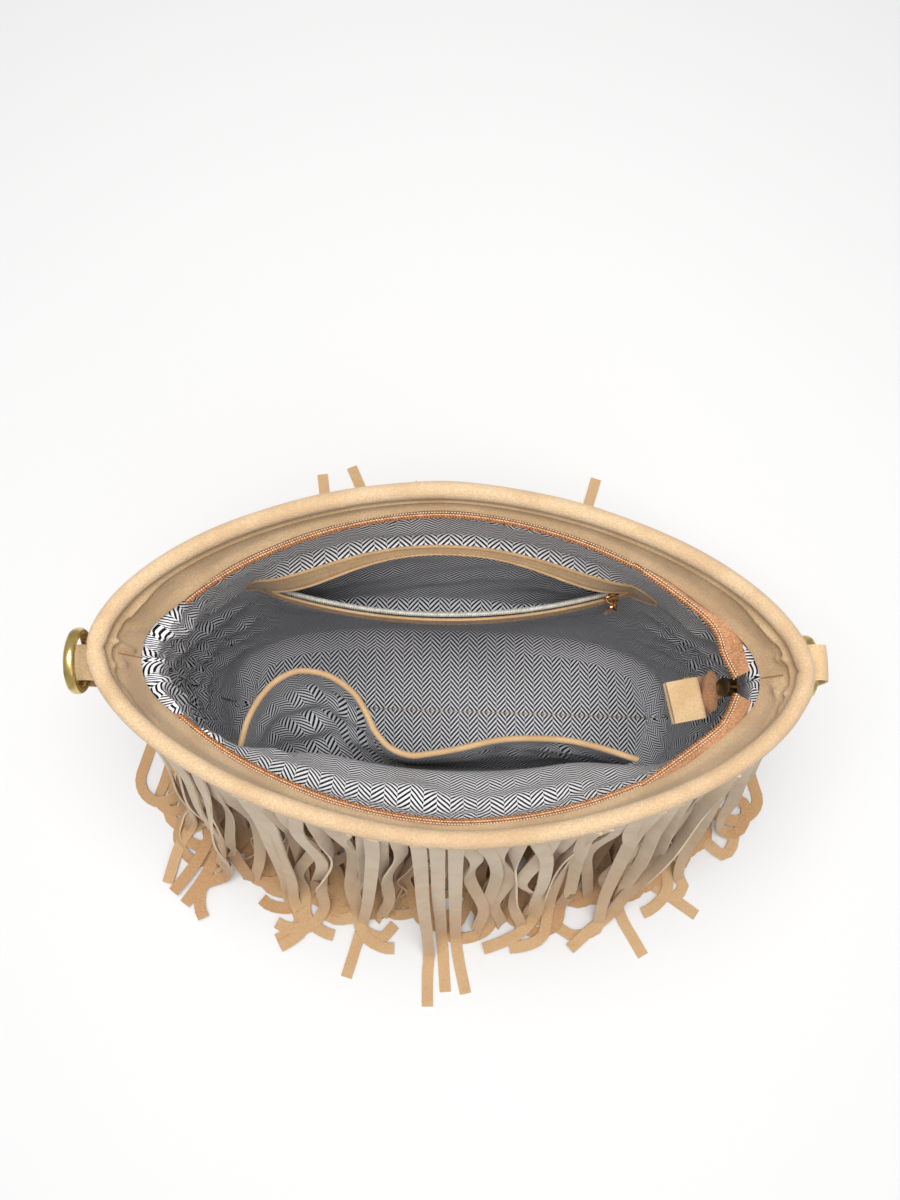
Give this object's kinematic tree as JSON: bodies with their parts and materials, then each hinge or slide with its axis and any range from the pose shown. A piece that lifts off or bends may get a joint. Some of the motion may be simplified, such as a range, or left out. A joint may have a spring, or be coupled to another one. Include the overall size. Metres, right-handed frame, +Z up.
{
  "type": "fringed suede bag",
  "caption": "Open-topped suede shoulder bag with a zip, striped lining, inner pockets, ring tabs and a long cut fringe.",
  "frame": {"origin": "middle of the base, on the surface the bag stands on", "axes": "+X to the right end of the bag, +Y to its back, where the zipped pocket is, +Z up"},
  "size_m": [0.4338, 0.3796, 0.3082],
  "materials": {
    "suede": "napped suede, light tan",
    "inner_suede": "napped suede, darker tan, topstitched",
    "fringe_suede": "thin cut suede, pale face and warm tan back",
    "lining": "woven cloth printed in a black and white herringbone",
    "zip_tape": "woven polyester tape, brown",
    "zip_coil": "nylon coil, orange brown",
    "pale_coil": "nylon coil, light grey",
    "ring_brass": "antique brass plate, polished high spots",
    "dark_brass": "dark antique brass",
    "rose_gold": "rose gold plate, polished"
  },
  "bodies": {
    "bag": {"body_front": "suede", "body_back": "suede", "base_panel": "suede", "rim_roll_front": "suede", "rim_roll_back": "suede", "facing_front": "inner_suede", "facing_back": "inner_suede", "lining_front": "lining", "lining_back": "lining", "pocket_welt": "inner_suede", "pocket_zip_upper": "pale_coil", "pocket_zip_lower": "pale_coil", "pocket_pouch": "lining", "top_zip_coil_front": "zip_coil", "top_zip_tape_front": "zip_tape", "top_zip_coil_back": "zip_coil", "top_zip_tape_back": "zip_tape", "zip_tail": "zip_tape", "zip_end_tab": "inner_suede", "slip_pocket": "lining", "slip_pocket_binding": "suede", "fringe_front_outer": "fringe_suede", "fringe_front_inner": "fringe_suede", "fringe_back_outer": "fringe_suede", "fringe_back_inner": "fringe_suede", "side_tab_left": "suede", "side_tab_right": "suede"},
    "left_ring": {"ring_left": "ring_brass"},
    "right_ring": {"ring_right": "ring_brass"},
    "top_slider": {"top_zip_slider": "dark_brass"},
    "top_pull": {"top_zip_pull": "dark_brass"},
    "pocket_slider": {"pocket_slider": "rose_gold"},
    "pocket_pull": {"pocket_pull": "rose_gold"}
  },
  "joints": [
    {"name": "left_ring_swing", "type": "hinge", "parent": "bag", "child": "left_ring", "pos_m": [-0.1782, 0, 0.28], "axis": [0, -1, 0], "range_deg": [0, 165]},
    {"name": "right_ring_swing", "type": "hinge", "parent": "bag", "child": "right_ring", "pos_m": [0.1782, 0, 0.28], "axis": [0, -1, 0], "range_deg": [0, 165]},
    {"name": "top_slider_slide", "type": "slide", "parent": "bag", "child": "top_slider", "axis": [-0.3523, 0, -0.9359], "range_m": [0, 0.007]},
    {"name": "top_pull_swing", "type": "hinge", "parent": "top_slider", "child": "top_pull", "pos_m": [0.146, -0.009, 0.2535], "axis": [0, -1, 0], "range_deg": [0, 22]},
    {"name": "pocket_slider_travel", "type": "hinge", "parent": "bag", "child": "pocket_slider", "pos_m": [0, 0.379, 0.195], "axis": [0, 0, -1], "range_deg": [0, 31]},
    {"name": "pocket_pull_swing", "type": "hinge", "parent": "pocket_slider", "child": "pocket_pull", "pos_m": [0.09375, 0.04579, 0.1975], "axis": [-0.9629, -0.2698, 0], "range_deg": [0, 110]}
  ]
}
